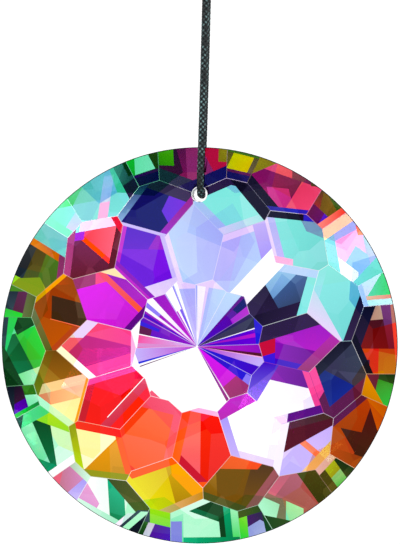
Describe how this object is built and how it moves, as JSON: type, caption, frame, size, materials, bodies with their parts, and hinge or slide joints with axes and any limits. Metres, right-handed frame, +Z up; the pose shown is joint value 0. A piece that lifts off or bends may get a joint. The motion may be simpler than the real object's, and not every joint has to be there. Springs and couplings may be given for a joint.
{
  "type": "crystal suncatcher",
  "caption": "Round faceted crystal disc, drilled near its rim and hung by a loop of braided cord with a wound knot and an eye.",
  "frame": {"origin": "the point inside the top of the cord's eye where a hook bears; the crystal hangs plumb below it", "axes": "+Z up along the plumb line, -Y is the way the crystal's front looks, +X is to the right seen from the front"},
  "size_m": [0.075, 0.0184, 0.1298],
  "materials": {
    "crystal": "polished clear crystal with a thin iridescent film on its facets",
    "cord": "tightly braided black polyester cord with a faint grey-green sheen"
  },
  "bodies": {
    "root": {"crystal_disc": "crystal", "hanging_cord": "cord", "cord_knot": "cord", "cord_eye": "cord"}
  },
  "joints": []
}
